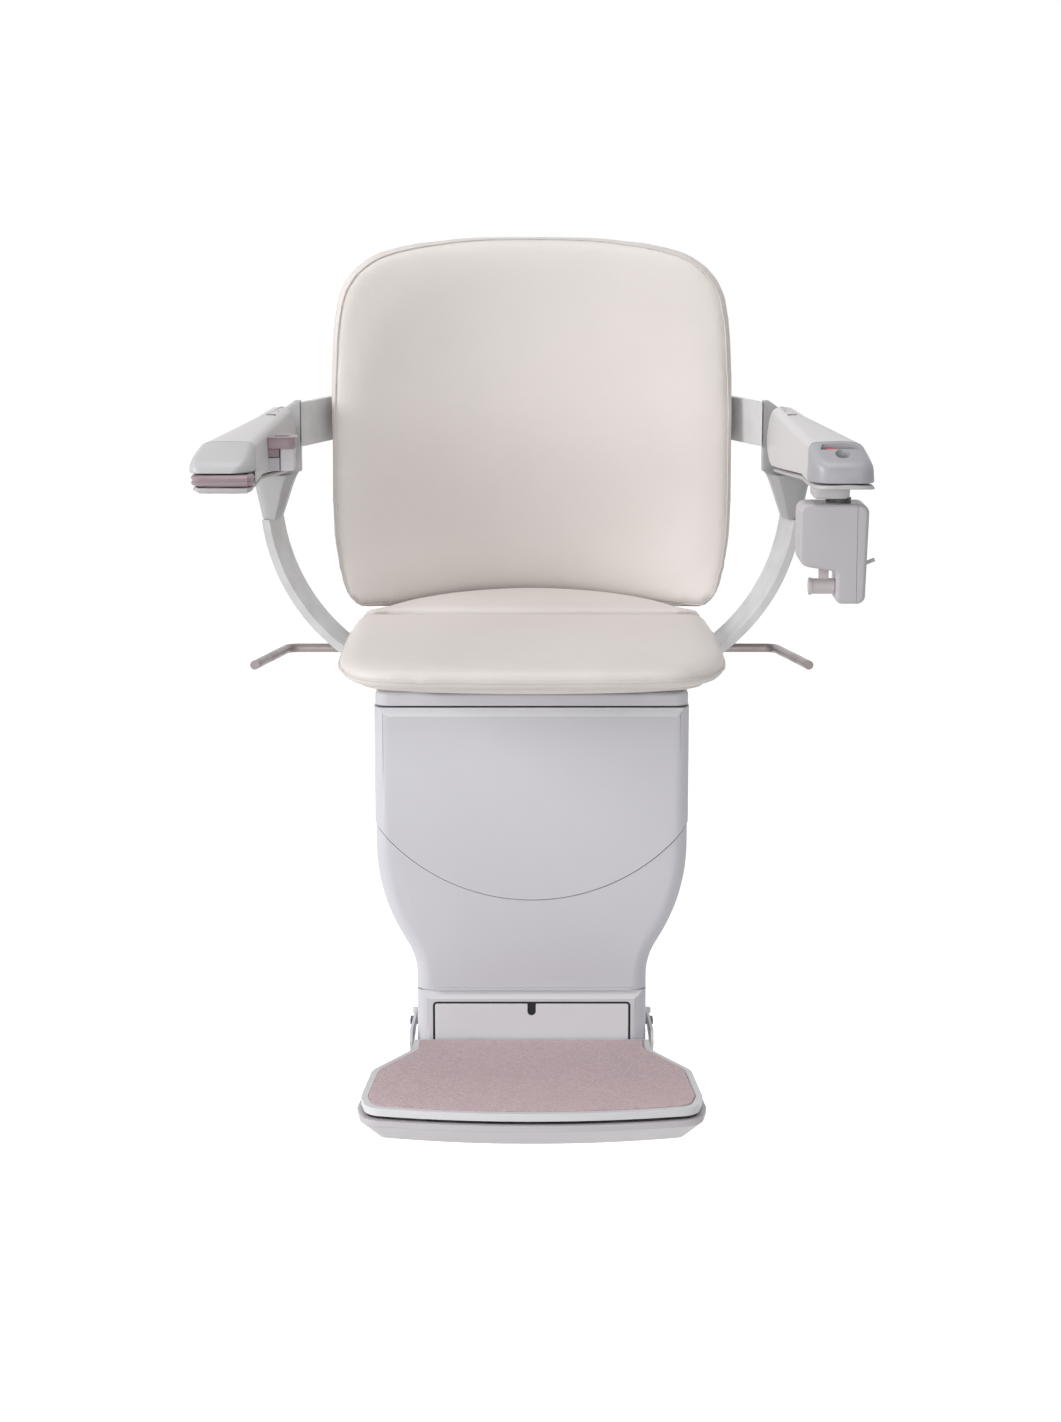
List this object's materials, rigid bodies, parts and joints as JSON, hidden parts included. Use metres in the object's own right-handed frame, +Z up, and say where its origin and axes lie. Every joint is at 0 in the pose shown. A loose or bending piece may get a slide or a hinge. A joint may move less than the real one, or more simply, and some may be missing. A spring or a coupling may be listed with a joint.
{
  "type": "stairlift chair",
  "caption": "Stairlift chair on a rail carriage, with a swivelling padded seat, curved back, folding arms, belt reel, thumb paddle and folding carpeted footrest.",
  "frame": {"origin": "levelling pivot of the carriage, in the plane of the rail's front face, 180 mm above the footrest carpet", "axes": "+X to the viewer's right when facing the chair, along a level rail; -Y out of the chair's front; +Z up"},
  "size_m": [0.6761, 0.554, 0.896],
  "materials": {
    "cover_plastic": "satin moulded plastic, cool light grey",
    "arm_plastic": "satin moulded plastic, warm light grey",
    "arm_cap_plastic": "satin moulded plastic, warm mid grey",
    "mauve_plastic": "matt mauve-grey plastic",
    "reel_plastic": "satin moulded plastic, grey",
    "upholstery": "soft warm off-white vinyl with a fine grain",
    "back_plastic": "moulded shell, warm grey",
    "carpet": "short looped pile, dusty pink-grey",
    "tray_plastic": "satin moulded plastic, light grey",
    "frame_paint": "satin powder coat, dark grey",
    "bar_paint": "satin powder coat, silver grey",
    "lever_paint": "satin coat, mauve-brown",
    "steel": "machined steel",
    "gear_steel": "oiled dark steel",
    "bronze": "turned bronze",
    "roller_nylon": "dark nylon",
    "pad_nylon": "natural nylon",
    "motor_paint": "black paint",
    "gearbox_metal": "cast aluminium",
    "battery_case": "black battery case",
    "board_green": "green circuit board",
    "seal_rubber": "black seal",
    "switch_red": "red rocker",
    "webbing": "woven belt, dark grey"
  },
  "bodies": {
    "carriage": {"carriage_plate": "frame_paint", "wear_pads": "pad_nylon", "roller_axles": "steel", "clamp_bolts": "steel"},
    "pinion": {"drive_pinion": "gear_steel"},
    "governor": {"governor_gear": "gear_steel"},
    "roller_tl": {"roller_top_left": "roller_nylon"},
    "roller_tr": {"roller_top_right": "roller_nylon"},
    "roller_bl": {"roller_bottom_left": "roller_nylon"},
    "roller_br": {"roller_bottom_right": "roller_nylon"},
    "chassis": {"chassis_frame": "frame_paint", "pivot_bush": "bronze", "drive_motor": "motor_paint", "gearbox": "gearbox_metal", "batteries": "battery_case", "control_board": "board_green", "charge_contacts": "bronze", "front_cover_upper": "cover_plastic", "front_cover_lower": "cover_plastic", "rear_cover": "cover_plastic", "footrest_riser": "cover_plastic", "access_panel": "cover_plastic", "panel_seal": "seal_rubber", "swivel_bearing": "steel", "lower_hinge_pins": "steel"},
    "edge_left": {"side_edge_left": "tray_plastic"},
    "edge_right": {"side_edge_right": "tray_plastic"},
    "footrest": {"footrest_platform": "tray_plastic", "footrest_carpet": "carpet"},
    "tray": {"footrest_tray": "tray_plastic"},
    "chair": {"swivel_cover": "cover_plastic", "swivel_post": "steel", "seat_frame": "frame_paint", "uprights": "bar_paint", "back_frame": "bar_paint", "arm_bracket_left": "arm_plastic", "arm_bracket_right": "arm_plastic", "backrest_shell": "back_plastic", "backrest_cushion": "upholstery", "hinge_pins": "steel", "seat_rear_pad": "upholstery"},
    "levers": {"swivel_levers": "lever_paint"},
    "lock": {"lock_pin": "steel"},
    "seat": {"seat_pan": "frame_paint", "seat_cushion": "upholstery"},
    "arm_left": {"arm_left_upper": "arm_plastic", "arm_left_lower": "mauve_plastic", "arm_left_cap": "arm_cap_plastic", "belt_socket": "mauve_plastic"},
    "paddle": {"control_paddle": "mauve_plastic"},
    "release": {"belt_release": "switch_red"},
    "arm_right": {"arm_right_upper": "arm_plastic", "arm_right_lower": "mauve_plastic", "arm_right_cap": "arm_cap_plastic"},
    "switch": {"power_switch": "switch_red"},
    "key": {"key_lock": "steel"},
    "reel": {"reel_housing": "reel_plastic", "reel_cover": "reel_plastic"},
    "spool": {"belt_spool": "webbing"},
    "tongue": {"belt_tongue": "steel"}
  },
  "joints": [
    {"name": "carriage_level", "type": "hinge", "parent": "carriage", "child": "chassis", "pos_m": [0, 0, 0], "axis": [0, 1, 0], "range_deg": [-50, 50]},
    {"name": "pinion_spin", "type": "hinge", "parent": "carriage", "child": "pinion", "pos_m": [0, 0, 0], "axis": [0, 1, 0], "continuous": true},
    {"name": "governor_spin", "type": "hinge", "parent": "carriage", "child": "governor", "pos_m": [-0.066, 0, -0.006], "axis": [0, 1, 0], "continuous": true},
    {"name": "roller_tl_spin", "type": "hinge", "parent": "carriage", "child": "roller_tl", "pos_m": [-0.088, 0, 0.058], "axis": [0, 1, 0], "continuous": true},
    {"name": "roller_tr_spin", "type": "hinge", "parent": "carriage", "child": "roller_tr", "pos_m": [0.088, 0, 0.058], "axis": [0, 1, 0], "continuous": true},
    {"name": "roller_bl_spin", "type": "hinge", "parent": "carriage", "child": "roller_bl", "pos_m": [-0.088, 0, -0.058], "axis": [0, 1, 0], "continuous": true},
    {"name": "roller_br_spin", "type": "hinge", "parent": "carriage", "child": "roller_br", "pos_m": [0.088, 0, -0.058], "axis": [0, 1, 0], "continuous": true},
    {"name": "edge_left_press", "type": "hinge", "parent": "chassis", "child": "edge_left", "pos_m": [-0.131, -0.084, -0.18], "axis": [0, 0, 1], "range_deg": [0, 1.2], "stiffness_Nm_per_rad": 3, "springref_deg": -11.46},
    {"name": "edge_right_press", "type": "hinge", "parent": "chassis", "child": "edge_right", "pos_m": [0.131, -0.084, -0.18], "axis": [0, 0, -1], "range_deg": [0, 1.2], "stiffness_Nm_per_rad": 3, "springref_deg": -11.46},
    {"name": "footrest_fold", "type": "hinge", "parent": "chassis", "child": "footrest", "pos_m": [0, -0.264, -0.189], "axis": [-1, 0, 0], "range_deg": [0, 82]},
    {"name": "tray_lift", "type": "slide", "parent": "footrest", "child": "tray", "axis": [0, 0, 1], "range_m": [0, 0.003], "stiffness_N_per_m": 900, "springref_m": -0.012},
    {"name": "swivel", "type": "hinge", "parent": "chassis", "child": "chair", "pos_m": [0, -0.15, 0.183], "axis": [0, 0, 1], "range_deg": [-80, 80]},
    {"name": "lever_lift", "type": "hinge", "parent": "chair", "child": "levers", "pos_m": [0, -0.19, 0.238], "axis": [-1, 0, 0], "range_deg": [0, 18], "stiffness_Nm_per_rad": 3, "springref_deg": -34.38},
    {"name": "lock_lift", "type": "slide", "parent": "chair", "child": "lock", "axis": [0, 0, 1], "range_m": [0, 0.0078]},
    {"name": "seat_fold", "type": "hinge", "parent": "chair", "child": "seat", "pos_m": [0, -0.2, 0.27], "axis": [-1, 0, 0], "range_deg": [0, 80]},
    {"name": "arm_left_fold", "type": "hinge", "parent": "chair", "child": "arm_left", "pos_m": [-0.267, -0.212, 0.464], "axis": [-1, 0, 0], "range_deg": [0, 88]},
    {"name": "arm_right_fold", "type": "hinge", "parent": "chair", "child": "arm_right", "pos_m": [0.267, -0.212, 0.464], "axis": [-1, 0, 0], "range_deg": [0, 88]},
    {"name": "paddle_turn", "type": "hinge", "parent": "arm_left", "child": "paddle", "pos_m": [-0.299, -0.388, 0.447], "axis": [0, 0, 1], "range_deg": [-8, 8], "stiffness_Nm_per_rad": 0.6},
    {"name": "release_push", "type": "slide", "parent": "arm_left", "child": "release", "axis": [0, 1, 0], "range_m": [0, 0.0025], "stiffness_N_per_m": 800, "springref_m": -0.003},
    {"name": "switch_rock", "type": "hinge", "parent": "arm_right", "child": "switch", "pos_m": [0.2925, -0.42775, 0.475], "axis": [1, 0, 0], "range_deg": [-8, 8]},
    {"name": "key_turn", "type": "hinge", "parent": "arm_right", "child": "key", "pos_m": [0.3045, -0.44, 0.47], "axis": [0, 0, -1], "range_deg": [0, 90]},
    {"name": "reel_swivel", "type": "hinge", "parent": "arm_right", "child": "reel", "pos_m": [0.3025, -0.428, 0.425], "axis": [0, 0, 1], "range_deg": [-25, 25]},
    {"name": "spool_pay", "type": "hinge", "parent": "reel", "child": "spool", "pos_m": [0.2975, -0.424, 0.3915], "axis": [0, -1, 0], "range_deg": [0, 24]},
    {"name": "tongue_pull", "type": "slide", "parent": "reel", "child": "tongue", "axis": [0, 0, -1], "range_m": [0, 0.01], "stiffness_N_per_m": 80, "springref_m": -0.03}
  ],
  "couplings": [
    {"joint": "governor_spin", "follows": "pinion_spin", "ratio": 1.3333},
    {"joint": "roller_tl_spin", "follows": "pinion_spin", "ratio": 1.3333},
    {"joint": "roller_tr_spin", "follows": "pinion_spin", "ratio": 1.3333},
    {"joint": "roller_bl_spin", "follows": "pinion_spin", "ratio": -1.3333},
    {"joint": "roller_br_spin", "follows": "pinion_spin", "ratio": -1.3333},
    {"joint": "lock_lift", "follows": "lever_lift", "m_per_rad": 0.0238},
    {"joint": "spool_pay", "follows": "tongue_pull", "rad_per_m": 41.667}
  ]
}
